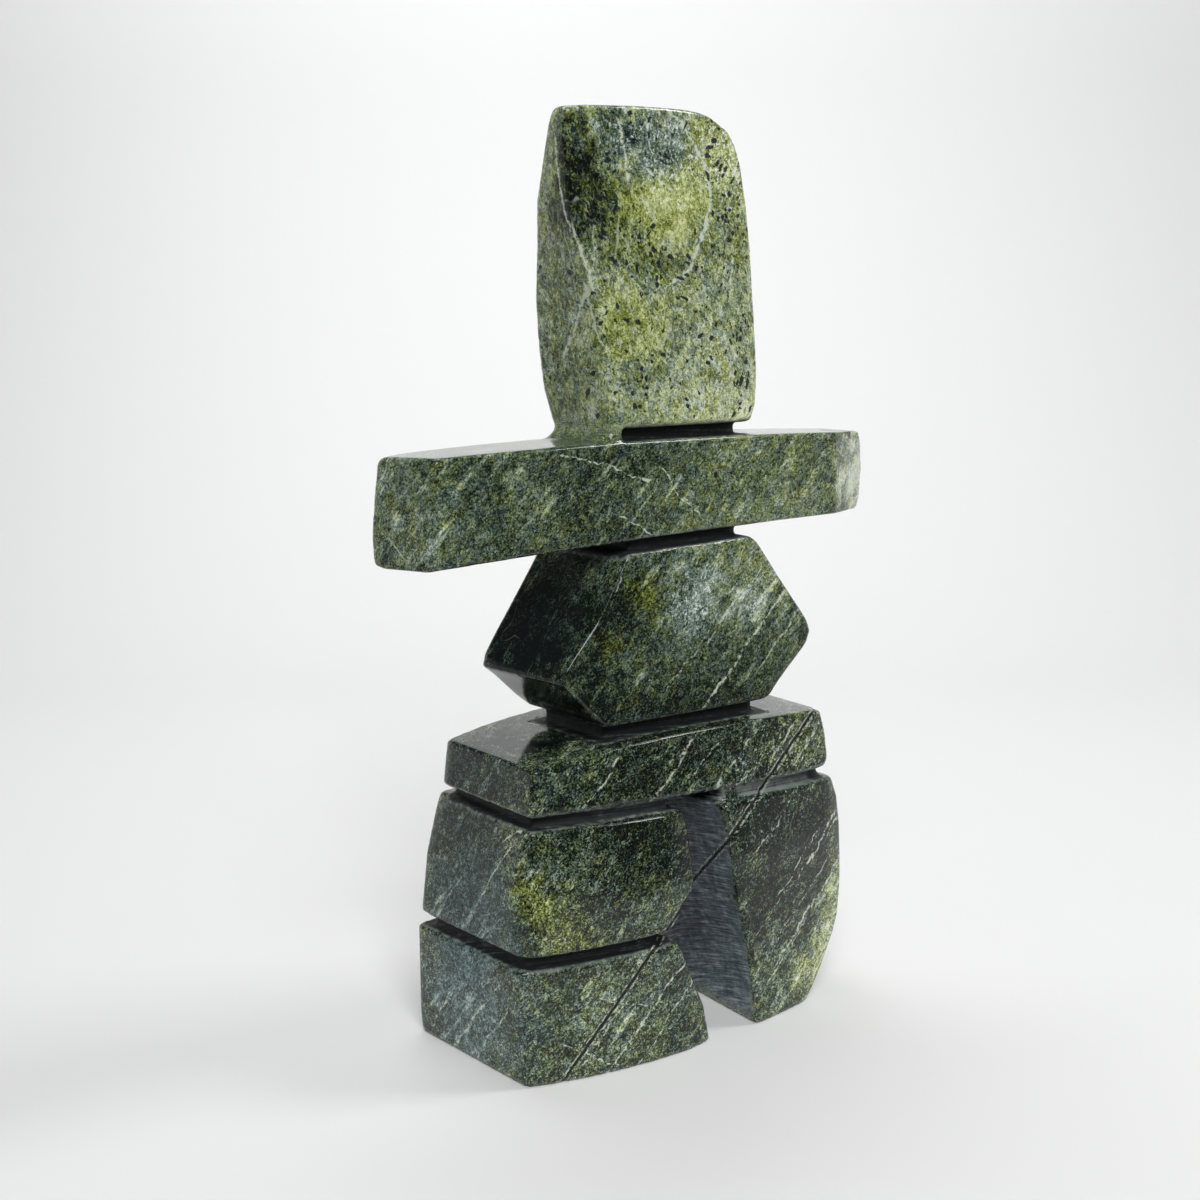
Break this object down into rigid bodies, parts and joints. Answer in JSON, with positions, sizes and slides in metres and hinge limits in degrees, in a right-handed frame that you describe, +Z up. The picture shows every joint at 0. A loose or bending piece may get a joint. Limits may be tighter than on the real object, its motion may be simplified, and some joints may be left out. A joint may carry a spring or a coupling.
{
  "type": "inukshuk sculpture",
  "caption": "Standing stone figure with a head slab, a long bar of arms, a faceted torso, hips and separate legs, carved from one polished block.",
  "frame": {"origin": "middle of the outline on the plane of the feet", "axes": "+Z up the figure, +X toward the viewer's right, the face toward -Y"},
  "size_m": [0.1856, 0.07, 0.3012],
  "materials": {
    "green_serpentine": "polished, with unpolished saw cuts"
  },
  "bodies": {
    "root": {"carved_inukshuk": "green_serpentine"}
  },
  "joints": []
}
